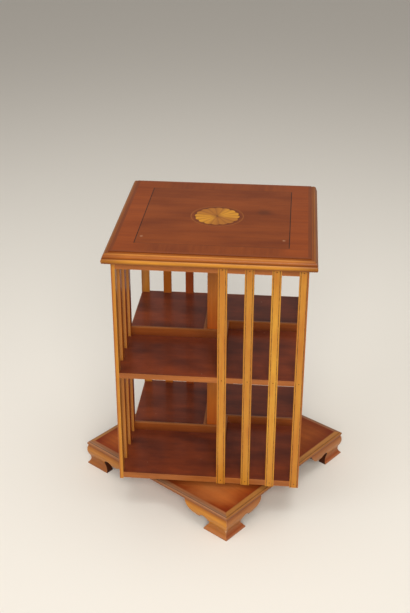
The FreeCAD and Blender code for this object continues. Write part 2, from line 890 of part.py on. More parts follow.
def check():
    """Stops unless every object is sound and every piece is a valid solid or solids."""
    for item in doc.Objects:
        if "Invalid" in item.State or "Error" in item.State:
            raise RuntimeError(f"{item.Label} is {item.State}")
    for piece in pieces():
        if piece.Shape.isNull() or not piece.Shape.isValid() or not piece.Shape.Solids:
            raise RuntimeError(f"{piece.Label} has no valid solid")


def export():
    """Writes each piece to its own file."""
    os.makedirs("parts", exist_ok=True)
    for piece in pieces():
        piece.Shape.exportStep(f"parts/{piece.Label}.step")


build()
doc.recompute()
check()
export()
print(len(pieces()), "pieces written")
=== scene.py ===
import math
from functools import partial

import bpy
from mathutils import Matrix, Vector


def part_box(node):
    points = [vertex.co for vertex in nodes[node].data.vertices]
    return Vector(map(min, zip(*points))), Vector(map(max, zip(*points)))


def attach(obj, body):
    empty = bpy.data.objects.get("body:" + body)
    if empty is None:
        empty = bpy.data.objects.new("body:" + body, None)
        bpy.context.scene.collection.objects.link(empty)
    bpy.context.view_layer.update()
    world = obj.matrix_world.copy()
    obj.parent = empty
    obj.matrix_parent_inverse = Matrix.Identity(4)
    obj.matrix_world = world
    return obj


# Revolving bookcase: yew slats and mouldings, mahogany boards, an inlaid top and a base on bracket feet.
# Metres, in the model's own frame: the floor is z 0, Z is the spin axis and the case's front faces -Y.

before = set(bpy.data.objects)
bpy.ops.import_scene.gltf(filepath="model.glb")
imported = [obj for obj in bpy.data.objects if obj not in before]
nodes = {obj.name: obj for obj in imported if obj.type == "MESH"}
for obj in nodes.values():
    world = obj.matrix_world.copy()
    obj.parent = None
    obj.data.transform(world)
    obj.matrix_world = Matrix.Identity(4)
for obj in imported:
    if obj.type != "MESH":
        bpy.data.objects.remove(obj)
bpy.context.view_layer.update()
MM = 0.001
FACES = ("front", "right", "back", "left")
BOARDS = ("bottom_shelf", "middle_shelf", "case_top_board")
SLATS_PER_FACE = 4
PETALS = 16

# Places read from the frame
shelf_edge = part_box("middle_shelf")[1].x
slat_low, slat_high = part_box("front_slat_1")
slat_face = -slat_low.y
slat_width = slat_high.x - slat_low.x
slat_thickness = slat_high.y - slat_low.y
slat_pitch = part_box("front_slat_2")[0].x - slat_low.x
board_middles = [sum(corner.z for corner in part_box(name)) / 2 for name in BOARDS]
stringing_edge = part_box("top_stringing")[1].x
top_underside, top_surface = (corner.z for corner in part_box("top_panel"))
panel_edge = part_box("top_panel")[1].x
moulding_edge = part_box("top_moulding_right")[1].x
fan_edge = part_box("patera_fan")[1].x
nosing_low, nosing_high = (corner.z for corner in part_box("base_moulding_front_left"))
foot_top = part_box("front_foot_left_bracket")[1].z

# The top moulding's outer edge ends a little above the top panel's underside
moulding_low = top_underside + 3.2 * MM

# The base stands turned under the case, so its pieces' reach is measured square to its own sides
BASE_TURN = math.radians(-35.9)


def base_reach(name):
    """The least and greatest reach of a piece of the base from the spin axis, square to a base side."""
    spots = [Matrix.Rotation(-BASE_TURN, 3, "Z") @ corner.co for corner in nodes[name].data.vertices]
    reach = [max(abs(spot.x), abs(spot.y)) for spot in spots]
    return min(reach), max(reach)


base_edge = base_reach("front_foot_left_bracket")[1]
field_edge, nosing_edge = base_reach("base_moulding_front_left")

# The upright corner of the front toe, which is knocked at this height
NICK_LOW, NICK_HIGH = 14 * MM, 22 * MM
bracket_corners = [corner.co for corner in nodes["front_foot_left_bracket"].data.vertices]
toe_spots = [spot for spot in bracket_corners if NICK_LOW < spot.z < NICK_HIGH]
toe_corner = min(toe_spots, key=lambda spot: spot.y)

# Depths below a slat's face over which its stained lines, its flanks and its back begin
LINE_DEPTHS = (0.62 * MM, 0.76 * MM)
FLANK_DEPTHS = (1.2 * MM, 2.2 * MM)
BACK_DEPTHS = (slat_thickness - 0.8 * MM, slat_thickness - 0.3 * MM)

# The reach along a face over which the outer edge of the corner slat darkens with painted shade, where its
# bead turns away from the light
CORNER_SLAT_PAINTED_SHADE = (slat_face - 3.4 * MM, slat_face - 2.4 * MM)

# The part of a streaky pattern's range over which it breaks wear and stain into patches
BROKEN = (0.35, 0.6)

# The turn that brings the fan's brightest petals, brightened by a painted sheen, onto the X axis
PAINTED_SHEEN_TURN = math.radians(-28)

# Turns that lay a pattern's X along the grain
ALONG_X = (0, 0, 0)
ALONG_Y = (0, 0, math.radians(90))
ALONG_Z = (0, math.radians(90), 0)
ALONG_BASE_X = (0, 0, -BASE_TURN)
ALONG_BASE_Y = (0, 0, math.radians(90) - BASE_TURN)

# Shades from the first slat, beside the column, to the fourth, at the corner; on the backs they hold painted
# shade, darker and redder towards the column
SLAT_SHADES = [(0.0, "#c0842b"), (0.333, "#ba802a"), (0.667, "#c99130"), (1.0, "#be832b")]
SLAT_BACKS_SHADED_TOWARDS_COLUMN = [(0.0, "#9c461a"), (0.333, "#a84e1c"), (0.667, "#b4641c"), (1.0, "#c4802e")]

# Shades down the top moulding's profile, as shares of the way out and down it: the wood's tone, with painted
# highlights on the ovolo and the bead and painted shadow in the sunk lines
MOULDING_TONES_WITH_PAINTED_LIGHT = [
    (0.0, "#8c4416"),
    (0.13, "#84401a"),
    (0.17, "#5c2a10"),
    (0.22, "#a25a22"),
    (0.29, "#aa6026"),
    (0.32, "#6e360e"),
    (0.36, "#c47e30"),
    (0.42, "#c0782e"),
    (0.48, "#ac6422"),
    (0.64, "#a45c1e"),
    (0.71, "#74380e"),
    (0.77, "#c4822e"),
    (0.88, "#cc8a30"),
    (0.97, "#8e5420"),
]

# The same for the base's nosing, with a greyish painted sheen on the sides that face the left
NOSING_BANDS_WITH_PAINTED_SHEEN = [
    (0.0, "#94522c"),
    (0.12, "#a66c46"),
    (0.3, "#946646"),
    (0.48, "#a07a5e"),
    (0.54, "#5e3a22"),
    (0.62, "#ac7c5a"),
    (0.74, "#9c663c"),
    (0.95, "#864a22"),
]
TAN_BANDS = [
    (0.0, "#8e5228"),
    (0.12, "#b87e40"),
    (0.3, "#b47a3c"),
    (0.48, "#a8743e"),
    (0.54, "#74481f"),
    (0.62, "#ac743c"),
    (0.74, "#9c622e"),
    (0.95, "#844a22"),
]

# Shades up the feet, with painted light and shade: bright on the bulge, browner in the hollow, darker at the
# toe and under the nosing. Brackets that face the light get a painted lit copy, those turned from it painted
# shaded ones
FEET_PAINTED_LIT = [
    (0.0, "#7e4624"),
    (0.05, "#b06c30"),
    (0.3, "#a8682a"),
    (0.5, "#c4802c"),
    (0.8, "#d28c2e"),
    (1.0, "#9a581e"),
]
FEET_PAINTED_SHADED = [
    (0.0, "#8c5236"),
    (0.06, "#ac6840"),
    (0.12, "#94481e"),
    (0.3, "#a05e28"),
    (0.5, "#b87834"),
    (0.8, "#b27036"),
    (1.0, "#8a4e22"),
]
FEET_PAINTED_HALF_SHADED = [
    (0.0, "#74401f"),
    (0.05, "#9a5e2e"),
    (0.3, "#945826"),
    (0.5, "#ae7030"),
    (0.8, "#b6762e"),
    (1.0, "#8a4e1e"),
]

# Finishes: the top's flat pieces have lost most of their gloss, and hidden wood was never varnished
FLAT = {"gloss": 0.13, "coat": 0.0}
BARE = {"dull": 0.6, "gloss": 0.1, "coat": 0.0}

# Marks: the spot, its radius, its depth and its colour
TOP_MARKS = [
    ((-155 * MM, -129 * MM, top_surface), 5 * MM, 0.6, "#c49a78"),
    ((154 * MM, -126 * MM, top_surface), 5 * MM, 0.6, "#c49a78"),
    ((107 * MM, 34 * MM, top_surface), 26 * MM, 0.45, "#3e2012"),
]
# On the base: a patch of painted shadow where the case's shadow falls on its right, and a painted pool of
# light at its front
BASE_PAINTED_SHADOW_AND_LIGHT = [
    ((250 * MM, 30 * MM, nosing_high), 200 * MM, 0.5, "#5a2812"),
    ((12 * MM, -215 * MM, nosing_high), 90 * MM, 0.45, "#c07a42"),
]
TOE_MARKS = [
    (toe_corner, 6 * MM, 0.8, "#d8b490"),
    (toe_corner + Vector((1, -4, -8)) * MM, 7 * MM, 0.8, "#3a2416"),
]


def paint(code):
    """A colour written as sRGB hex, as the linear colour that shaders take."""
    channels = [int(code[place : place + 2], 16) / 255 for place in (1, 3, 5)]
    linear = [value / 12.92 if value <= 0.04045 else ((value + 0.055) / 1.055) ** 2.4 for value in channels]
    return (*linear, 1.0)


def node(tree, kind, *inputs, stops=(), **options):
    """Adds a node. Inputs come in order, or by name, with a capital and _ for a space. Each is a value, a
    hex colour, or the node or socket that feeds it. Other options are the node's own settings."""
    made = tree.nodes.new(kind)
    for name in [name for name in options if name[0].islower()]:
        setattr(made, name, options.pop(name))
    given = list(zip([socket for socket in made.inputs if socket.enabled], inputs))
    given += [(made.inputs[name.replace("_", " ")], value) for name, value in options.items()]
    for socket, value in given:
        if isinstance(value, bpy.types.Node):
            value = next(output for output in value.outputs if output.enabled)
        if isinstance(value, bpy.types.NodeSocket):
            tree.links.new(value, socket)
        else:
            socket.default_value = paint(value) if isinstance(value, str) else value
    for number, (place, code) in enumerate(stops):
        ramp = made.color_ramp.elements
        stop = ramp[number] if number < 2 else ramp.new(place)
        stop.position = place
        stop.color = paint(code)
    return made


def new_material(name):
    """A material with no nodes, and the function that adds them."""
    material = bpy.data.materials.new(name)
    material.use_nodes = True
    material.node_tree.nodes.clear()
    return material, partial(node, material.node_tree)


def new_object(name, data):
    """An object that stands in the scene."""
    made = bpy.data.objects.new(name, data)
    bpy.context.scene.collection.objects.link(made)
    return made


# Patterns


def own_place(add, turn=ALONG_X):
    """The piece's own coordinates, turned."""
    return add("ShaderNodeMapping", Vector=add("ShaderNodeTexCoord").outputs["Object"], Rotation=turn)


def own_axes(add, turn=ALONG_X):
    """The same, as X, Y and Z by themselves."""
    return add("ShaderNodeSeparateXYZ", own_place(add, turn)).outputs


def both_ways(add, axes):
    """How far a point lies from the spin axis, sideways and endways."""
    return [add("ShaderNodeMath", axes[name], operation="ABSOLUTE") for name in ("X", "Y")]


def reach_out(add, axes):
    """How far out a point lies from the spin axis, square to the nearest side."""
    return add("ShaderNodeMath", *both_ways(add, axes), operation="MAXIMUM")


def radius_out(add, axes):
    """How far a point lies from the spin axis in plan."""
    flat = add("ShaderNodeCombineXYZ", axes["X"], axes["Y"])
    return add("ShaderNodeVectorMath", flat, operation="LENGTH").outputs["Value"]


def streaks(add, place, width, length, detail=3.0):
    """Streaks along the grain, of about this width and length."""
    stretched = add("ShaderNodeMapping", Vector=place, Scale=(1 / length, 1 / width, 1 / width))
    return add("ShaderNodeTexNoise", Vector=stretched, Scale=1.0, Detail=detail, Roughness=0.55)


def rubbed_edges(add, width):
    """A share that rises along the edges, in patches, where handling has rubbed the stain thin."""
    rounded = add("ShaderNodeBevel", width, samples=6)
    flat = add("ShaderNodeNewGeometry").outputs["True Normal"]
    alike = add("ShaderNodeVectorMath", rounded, flat, operation="DOT_PRODUCT").outputs["Value"]
    edge = add("ShaderNodeMapRange", alike, 0.99, 0.85)
    patches = streaks(add, own_place(add), width=7 * MM, length=14 * MM)
    patches = add("ShaderNodeMapRange", patches, *BROKEN, To_Min=0.1, To_Max=0.7)
    return add("ShaderNodeMath", edge, patches, operation="MULTIPLY")


def marks_and_painted_light(add, colour, marks):
    """The colour with ragged marks on it, which are stains and knocks or patches of painted shadow and
    painted light. Each has its spot, its radius, its depth and its own colour.
    """
    place = own_place(add)
    for spot, radius, depth, stain in marks:
        away = add("ShaderNodeVectorMath", place, spot, operation="DISTANCE").outputs["Value"]
        rough = streaks(add, place, radius / 3, radius / 2)
        ragged = add("ShaderNodeMath", rough, radius, away, operation="MULTIPLY_ADD")
        share = add("ShaderNodeMapRange", ragged, 0.6 * radius, 1.4 * radius, To_Min=depth, To_Max=0.0)
        colour = add("ShaderNodeMix", share, colour, stain, data_type="RGBA")
    return colour


def along_profile(add, axes, start, end):
    """How far out and down a moulding's profile a point lies, from 0 at its top inner arris. Start and end
    are the profile's corners, as reach and height."""
    out = add("ShaderNodeMath", reach_out(add, axes), axes["Z"], operation="SUBTRACT")
    return add("ShaderNodeMapRange", out, start[0] - start[1], end[0] - end[1])


class Timber:
    """One timber lying one way: its figure, its cloudy tone and its open pores, each as wide as is given
    and so many times as long. Real pores are a tenth of a millimetre across; they are drawn coarser here
    so that they show."""

    FIGURE_LENGTH, CLOUD_LENGTH, PORE_LENGTH = 16, 2.2, 22
    OPEN_PORES = (0.36, 0.52)
    DARK_IN_PORES = 0.25

    def __init__(self, add, turn, figure=8 * MM, pore=1.1 * MM, cloud=70 * MM):
        self.add = add
        place = own_place(add, turn)
        self.figure = streaks(add, place, figure, self.FIGURE_LENGTH * figure)
        self.cloud = streaks(add, place, cloud, self.CLOUD_LENGTH * cloud, detail=4.0)
        fibres = streaks(add, place, pore, self.PORE_LENGTH * pore, detail=2.0)
        self.pores = add("ShaderNodeMapRange", fibres, *self.OPEN_PORES, interpolation_type="SMOOTHSTEP")

    def tone(self, light, dark, spread=0.5, figured=0.5):
        """Light wood that passes to dark with its figure, for the share that is figured, and with its
        clouds for the rest. Both have darker pores."""
        clouds = self.add("ShaderNodeMath", self.cloud, 1 - figured, operation="MULTIPLY")
        share = self.add("ShaderNodeMath", self.figure, figured, clouds, operation="MULTIPLY_ADD")
        low, high = 0.5 - spread / 2, 0.5 + spread / 2
        share = self.add("ShaderNodeMapRange", share, low, high, interpolation_type="SMOOTHSTEP")
        body = self.add("ShaderNodeMix", share, light, dark, data_type="RGBA")
        sunk = self.add("ShaderNodeMix", self.DARK_IN_PORES, body, dark, data_type="RGBA")
        return self.add("ShaderNodeMix", self.pores, sunk, body, data_type="RGBA")


# Woods. Each recipe takes add, which adds a node to its material, and returns the colour and the timber.


def varnished(name, recipe, dull=0.36, gloss=0.2, coat=0.15):
    """Wood under hand-rubbed varnish: a satin film that dips over the pores and is worn duller in clouds."""
    material, add = new_material(name)
    colour, timber = recipe(add)
    dips = add("ShaderNodeBump", Height=timber.pores, Strength=0.25, Distance=0.05 * MM)
    worn = add("ShaderNodeMapRange", timber.cloud, To_Min=dull - 0.07, To_Max=dull + 0.09)
    shader = add("ShaderNodeBsdfPrincipled", Base_Color=colour, Roughness=worn, Normal=dips, IOR=1.5)
    shader.inputs["Specular IOR Level"].default_value = gloss
    shader.inputs["Coat Weight"].default_value = coat
    shader.inputs["Coat Roughness"].default_value = 0.16
    add("ShaderNodeOutputMaterial", shader)
    return material


def slat_yew(add):
    """Planed and beaded yew, stained honey: upright streaks, each slat its own shade, stain left in dashes
    in the sunk lines, browner flanks, and backs with painted shade that darkens them to red near the column."""
    timber = Timber(add, ALONG_Z, figure=6 * MM, cloud=45 * MM)
    axes = own_axes(add)
    depth = add("ShaderNodeMath", slat_face, reach_out(add, axes), operation="SUBTRACT")
    along = add("ShaderNodeMath", *both_ways(add, axes), operation="MINIMUM")
    first = slat_low.x - (slat_pitch - slat_width) / 2
    count = add("ShaderNodeMapRange", along, first, first + slat_pitch, clamp=False)
    count = add("ShaderNodeMath", count, operation="FLOOR")
    slat = add("ShaderNodeMath", count, SLATS_PER_FACE - 1, operation="DIVIDE")

    light = add("ShaderNodeValToRGB", slat, stops=SLAT_SHADES)
    dark = add("ShaderNodeMix", 0.6, light, "#a05214", data_type="RGBA")
    face = timber.tone(light, dark, spread=0.35)
    rubbed = add("ShaderNodeMix", rubbed_edges(add, width=0.9 * MM), face, "#e8b668", data_type="RGBA")
    sunk = add("ShaderNodeMapRange", depth, *LINE_DEPTHS, interpolation_type="SMOOTHSTEP")
    dashes = streaks(add, own_place(add, ALONG_Z), width=3 * MM, length=9 * MM)
    dashes = add("ShaderNodeMapRange", dashes, *BROKEN, To_Min=0.5)
    stained = add("ShaderNodeMath", sunk, dashes, operation="MULTIPLY")
    lined = add("ShaderNodeMix", stained, rubbed, "#4a2a10", data_type="RGBA")
    # Painted shade on the outer edge of the corner slat
    corner = add("ShaderNodeMapRange", along, *CORNER_SLAT_PAINTED_SHADE, To_Max=0.8)
    lined = add("ShaderNodeMix", corner, lined, "#94501c", data_type="RGBA")

    inward = add("ShaderNodeMapRange", depth, 0.0, slat_thickness)
    flank = add("ShaderNodeValToRGB", inward, stops=[(0.0, "#8a5022"), (0.45, "#b07030"), (0.9, "#bc7c34")])
    flank = timber.tone(flank, add("ShaderNodeMix", 0.4, flank, "#7a4212", data_type="RGBA"))
    # Painted shade: the backs darken to red towards the column
    back = add("ShaderNodeValToRGB", slat, stops=SLAT_BACKS_SHADED_TOWARDS_COLUMN)
    back = timber.tone(back, add("ShaderNodeMix", 0.4, back, "#6a2c10", data_type="RGBA"))
    on_back = add("ShaderNodeMapRange", depth, *BACK_DEPTHS, interpolation_type="SMOOTHSTEP")
    hidden = add("ShaderNodeMix", on_back, flank, back, data_type="RGBA")
    on_side = add("ShaderNodeMapRange", depth, *FLANK_DEPTHS, interpolation_type="SMOOTHSTEP")
    return add("ShaderNodeMix", on_side, lined, hidden, data_type="RGBA"), timber


def top_moulding_yew(turn, painted_side_shade, add):
    """Run yew moulding, stained: red-brown on its flats, with a painted highlight on the ovolo, painted
    shadow in the two sunk lines and a honey bead with a painted highlight. The sides, under painted shade,
    and the corners are browner."""
    timber = Timber(add, turn, figure=5 * MM)
    axes = own_axes(add)
    profile = along_profile(add, axes, (panel_edge, top_surface), (moulding_edge, moulding_low))
    to_corner = add("ShaderNodeMath", *both_ways(add, axes), operation="ADD")
    near, far = 2 * moulding_edge - 60 * MM, 2 * moulding_edge - 10 * MM
    # Painted shade on the sides, and browner towards the corners
    brown = add("ShaderNodeMapRange", to_corner, near, far, To_Min=painted_side_shade, To_Max=0.55)
    # Painted highlights and painted shadow run in bands down the profile
    bands = add("ShaderNodeValToRGB", profile, stops=MOULDING_TONES_WITH_PAINTED_LIGHT)
    light = add("ShaderNodeMix", brown, bands, "#6a3010", data_type="RGBA")
    dark = add("ShaderNodeMix", 0.4, light, "#5a2a10", data_type="RGBA")
    return timber.tone(light, dark), timber


def nosing_yew(turn, bands, add):
    """Run yew nosing in the shades it is given down its profile, on some sides with a greyish painted sheen
    on its slope, and with dark stain in its sunk line.
    """
    timber = Timber(add, turn, figure=5 * MM)
    axes = own_axes(add, ALONG_BASE_X)
    profile = along_profile(add, axes, (field_edge, nosing_high), (nosing_edge, nosing_low))
    light = add("ShaderNodeValToRGB", profile, stops=bands)
    dark = add("ShaderNodeMix", 0.4, light, "#5a2a10", data_type="RGBA")
    return timber.tone(light, dark), timber


def foot_yew(turn, shades, add):
    """Sawn and carved yew feet: bright on the bulge and browner in the hollow, as painted light and shade,
    reddish where the toes are knocked, and dark on the raw sawn faces and the inside of the scroll and under
    the base, raw wood darkened further by painted shade."""
    timber = Timber(add, turn, figure=6 * MM)
    axes = own_axes(add, turn)
    # The height ramp paints light on the bulge and shade in the hollow, at the toe and under the nosing
    height = add("ShaderNodeMapRange", axes["Z"], 0.0, foot_top)
    light = add("ShaderNodeValToRGB", height, stops=shades)
    dark = add("ShaderNodeMix", 0.45, light, "#6a3212", data_type="RGBA")
    facing = add("ShaderNodeMapping", Vector=add("ShaderNodeTexCoord").outputs["Normal"], Rotation=turn)
    outward = add("ShaderNodeMath", add("ShaderNodeSeparateXYZ", facing).outputs["Y"], operation="ABSOLUTE")
    sawn = add("ShaderNodeMapRange", outward, 0.3, 0.1)
    behind = add("ShaderNodeMath", base_edge, reach_out(add, axes), operation="SUBTRACT")
    inside = add("ShaderNodeMapRange", behind, 8 * MM, 15 * MM, interpolation_type="SMOOTHSTEP")
    # Dark on the raw sawn faces and the inside: raw wood, with painted shade in the scroll and under the
    # base
    raw = add("ShaderNodeMath", sawn, inside, operation="MAXIMUM")
    face = marks_and_painted_light(add, timber.tone(light, dark), TOE_MARKS)
    shown = add("ShaderNodeMix", rubbed_edges(add, width=1.2 * MM), face, "#dc9c64", data_type="RGBA")
    return add("ShaderNodeMix", raw, shown, "#3e1e10", data_type="RGBA"), timber


def board_mahogany(add):
    """Mahogany boards with a stained edge: dark red-brown on the flat, clouded, and honey on the rim."""
    timber = Timber(add, ALONG_X, figure=9 * MM, cloud=50 * MM)
    axes = own_axes(add)
    rim = add("ShaderNodeMapRange", reach_out(add, axes), shelf_edge - 1.6 * MM, shelf_edge - 1.1 * MM)
    field = timber.tone("#8e401f", "#50241a", spread=0.62, figured=0.15)
    chips = streaks(add, own_place(add), width=6 * MM, length=7 * MM, detail=0.0)
    chips = add("ShaderNodeMapRange", chips, 0.86, 0.9, To_Max=0.7)
    field = add("ShaderNodeMix", chips, field, "#b08468", data_type="RGBA")
    plain = add("ShaderNodeMix", rim, field, timber.tone("#ab662d", "#864a20"), data_type="RGBA")
    return add("ShaderNodeMix", rubbed_edges(add, width=1 * MM), plain, "#cc8c5c", data_type="RGBA"), timber


def rail_mahogany(low, high, turn, add):
    """Planed mahogany rails, brown, with painted shade towards the board and a painted highlight along the
    top.
    """
    timber = Timber(add, turn, figure=6 * MM)
    height = add("ShaderNodeMapRange", own_axes(add)["Z"], low, high)
    # Painted shade low down towards the board and a painted highlight at the top
    stops = [(0.0, "#6e3210"), (0.5, "#8e481a"), (0.9, "#96501e"), (0.97, "#aa6a3a")]
    light = add("ShaderNodeValToRGB", height, stops=stops)
    return timber.tone(light, add("ShaderNodeMix", 0.5, light, "#5a280c", data_type="RGBA")), timber


def post_yew(low, high, add):
    """Planed yew posts: orange-brown, with upright grain, and darker and redder low down, behind the rails,
    with painted shade.
    """
    timber = Timber(add, ALONG_Z, figure=7 * MM)
    height = add("ShaderNodeMapRange", own_axes(add)["Z"], low, high)
    # Painted shade: darker and redder low down behind the rails
    light = add("ShaderNodeValToRGB", height, stops=[(0.1, "#b85a1c"), (0.5, "#ca7824"), (1.0, "#c87a26")])
    return timber.tone(light, add("ShaderNodeMix", 0.5, light, "#7a3a0e", data_type="RGBA")), timber


def top_veneer(add):
    """Sliced mahogany veneer: a brown field with long clouds, and bands outside the stringing whose grain
    runs across them, redder at the two sides."""
    timber = Timber(add, ALONG_X, figure=12 * MM, cloud=80 * MM)
    cross = Timber(add, ALONG_Y, figure=10 * MM, cloud=70 * MM)
    axes = own_axes(add)
    sideways = add("ShaderNodeMath", axes["X"], operation="ABSOLUTE")
    at_sides = add("ShaderNodeMapRange", sideways, stringing_edge - 30 * MM, stringing_edge)
    ends = cross.tone("#874113", "#70310f")
    sides = timber.tone("#944614", "#78340e")
    bands = add("ShaderNodeMix", at_sides, ends, sides, data_type="RGBA")
    outside = add("ShaderNodeMapRange", reach_out(add, axes), stringing_edge - 1 * MM, stringing_edge)
    field = timber.tone("#8a4213", "#6a2e0e", spread=0.45, figured=0.3)
    top = add("ShaderNodeMix", outside, field, bands, data_type="RGBA")
    return marks_and_painted_light(add, top, TOP_MARKS), timber


def base_veneer(add):
    """Mahogany veneer on the base, redder and darker along its rim and in its corners, with a patch of
    painted shadow cast by the case and a painted pool of light at the front."""
    timber = Timber(add, ALONG_BASE_X, figure=10 * MM, cloud=80 * MM)
    axes = own_axes(add, ALONG_BASE_X)
    to_corner = add("ShaderNodeMath", *both_ways(add, axes), operation="ADD")
    rim = add("ShaderNodeMapRange", reach_out(add, axes), field_edge - 36 * MM, field_edge, To_Max=0.85)
    near, far = 2 * field_edge - 75 * MM, 2 * field_edge - 15 * MM
    corner = add("ShaderNodeMapRange", to_corner, near, far)
    redder = add("ShaderNodeMath", rim, corner, operation="MAXIMUM")
    light = add("ShaderNodeMix", redder, "#c4682a", "#84300f", data_type="RGBA")
    field = timber.tone(light, add("ShaderNodeMix", 0.5, light, "#5e2210", data_type="RGBA"))
    # Painted shadow from the case and a painted pool of light
    return marks_and_painted_light(add, field, BASE_PAINTED_SHADOW_AND_LIGHT), timber


def stringing_wood(add):
    """A thin ebonised line, clear along the two sides and worn back to brown at the front and back."""
    timber = Timber(add, ALONG_X, figure=4 * MM)
    axes = own_axes(add)
    at_sides = add("ShaderNodeMath", *both_ways(add, axes), operation="GREATER_THAN")
    worn = timber.tone("#703814", "#5c2a10")
    return add("ShaderNodeMix", at_sides, worn, "#26120a", data_type="RGBA"), timber


def patera_ground_wood(add):
    """Stained ground veneer, scorched darker beside the fan."""
    timber = Timber(add, ALONG_X, figure=6 * MM, cloud=40 * MM)
    axes = own_axes(add)
    away = add("ShaderNodeMapRange", radius_out(add, axes), fan_edge - 3 * MM, fan_edge + 5 * MM)
    ground = timber.tone("#864014", "#6a2e10")
    return add("ShaderNodeMix", away, "#5a2a10", ground, data_type="RGBA"), timber


def ring_boxwood(add):
    """A thin bent line of boxwood, yellowed by the varnish."""
    timber = Timber(add, ALONG_X, figure=3 * MM)
    return timber.tone("#9c5c28", "#82481c"), timber


def fan_satinwood(add):
    """Cut satinwood petals: each is scorched in hot sand along one side and at its root, and a painted sheen
    that turns with the grain makes the petals towards the two sides the brightest."""
    timber = Timber(add, ALONG_X, figure=4 * MM, cloud=30 * MM)
    axes = own_axes(add)
    angle = add("ShaderNodeMath", axes["Y"], axes["X"], operation="ARCTAN2")
    turns = add("ShaderNodeMath", angle, PETALS / math.tau, PETALS + 0.5, operation="MULTIPLY_ADD")
    petal = add("ShaderNodeMath", turns, operation="FRACT")
    # Painted sheen: brightest on the petals towards the two sides
    swung = add("ShaderNodeMath", angle, PAINTED_SHEEN_TURN, operation="ADD")
    sine = add("ShaderNodeMath", swung, operation="SINE")
    upright = add("ShaderNodeMath", sine, operation="ABSOLUTE")
    painted_sheen = add("ShaderNodeMapRange", upright, 0.35, 0.95, interpolation_type="SMOOTHSTEP")
    light = add("ShaderNodeMix", painted_sheen, "#d2922a", "#a86a24", data_type="RGBA")
    dark = add("ShaderNodeMix", 0.25, light, "#8a4c1c", data_type="RGBA")
    root = add("ShaderNodeMapRange", radius_out(add, axes), 2 * MM, 18 * MM, To_Min=0.7, To_Max=0.0)
    edge = add("ShaderNodeMapRange", petal, 0.5, 1.0, To_Max=0.5)
    scorched = add("ShaderNodeMath", root, edge, operation="MAXIMUM")
    return add("ShaderNodeMix", scorched, timber.tone(light, dark), "#74401c", data_type="RGBA"), timber


def raw_beech(add):
    """Turned beech dowels, pale and unvarnished."""
    timber = Timber(add, ALONG_Z, figure=4 * MM)
    return timber.tone("#cfae7c", "#b08c5a"), timber


def raw_pine(add):
    """Sawn pine blocks: pale, with broad soft rings."""
    timber = Timber(add, ALONG_BASE_X, figure=9 * MM)
    return timber.tone("#c6a06a", "#a47c48"), timber


# Metals and nylon


def metal(name, light, dark, roughness, scratch):
    """Bare metal whose fine scratches, drawn coarser than life, break up its shine."""
    material, add = new_material(name)
    scratches = streaks(add, own_place(add), scratch, 12 * scratch)
    colour = add("ShaderNodeMix", scratches, light, dark, data_type="RGBA")
    shine = add("ShaderNodeMapRange", scratches, To_Min=roughness - 0.08, To_Max=roughness + 0.12)
    shader = add("ShaderNodeBsdfPrincipled", Base_Color=colour, Roughness=shine, Metallic=1.0)
    add("ShaderNodeOutputMaterial", shader)
    return material


def moulded_nylon():
    """Injection-moulded nylon: off-white, faintly mottled and a little waxy."""
    material, add = new_material("moulded_nylon")
    mottle = streaks(add, own_place(add), width=3 * MM, length=3 * MM)
    colour = add("ShaderNodeMix", mottle, "#dcd8cc", "#c6c1b2", data_type="RGBA")
    shader = add("ShaderNodeBsdfPrincipled", Base_Color=colour, Roughness=0.45, IOR=1.53)
    add("ShaderNodeOutputMaterial", shader)
    return material


def finish(names, material):
    """Gives CAD nodes their material."""
    for name in names:
        nodes[name].data.materials.clear()
        nodes[name].data.materials.append(material)


# Case
slats = [f"{face}_slat_{number + 1}" for face in FACES for number in range(SLATS_PER_FACE)]
finish(slats, varnished("beaded_yew", slat_yew))
finish(BOARDS, varnished("edged_mahogany_boards", board_mahogany, dull=0.34, gloss=0.17))
finish(["column_dowels"], varnished("turned_beech", raw_beech, **BARE))
# The side mouldings get painted shade
for way, turn, painted_side_shade, faces in (
    ("x", ALONG_X, 0.0, ("front", "back")),
    ("y", ALONG_Y, 0.45, ("right", "left")),
):
    recipe = partial(top_moulding_yew, turn, painted_side_shade)
    moulding = varnished(f"run_yew_moulding_{way}", recipe, gloss=0.13, coat=0.05)
    finish([f"top_moulding_{face}" for face in faces], moulding)
for tier in ("lower", "upper"):
    low, high = (corner.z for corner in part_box(f"{tier}_column_post"))
    finish([f"{tier}_column_post"], varnished(f"planed_yew_{tier}_post", partial(post_yew, low, high)))
    low, high = (corner.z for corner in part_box(f"{tier}_rail_front"))
    for way, turn, faces in (("x", ALONG_X, ("right", "left")), ("y", ALONG_Y, ("front", "back"))):
        planed = varnished(f"planed_mahogany_{tier}_rails_{way}", partial(rail_mahogany, low, high, turn))
        finish([f"{tier}_rail_{face}" for face in faces], planed)

# Top and its inlay
finish(["top_panel"], varnished("sliced_mahogany_veneer", top_veneer, **FLAT))
finish(["top_stringing"], varnished("ebonised_line", stringing_wood, **FLAT))
finish(["patera_ground"], varnished("scorched_ground_veneer", patera_ground_wood, **FLAT))
finish(["patera_ring"], varnished("bent_boxwood_line", ring_boxwood, **FLAT))
finish(["patera_fan"], varnished("sand_scorched_satinwood", fan_satinwood, **FLAT))

# Base
finish(["base_board"], varnished("rimmed_mahogany_veneer", base_veneer, gloss=0.13, coat=0.05))
for way, turn, bands, sides in (
    # These sides carry the painted sheen
    ("x", ALONG_BASE_X, NOSING_BANDS_WITH_PAINTED_SHEEN, ("front_left", "back_right")),
    ("y", ALONG_BASE_Y, TAN_BANDS, ("front_right", "back_left")),
):
    nosing = varnished(f"run_yew_nosing_{way}", partial(nosing_yew, turn, bands))
    finish([f"base_moulding_{side}" for side in sides], nosing)
browner = ("front_foot_right", "back_foot_right", "right_foot_left", "left_foot_left")
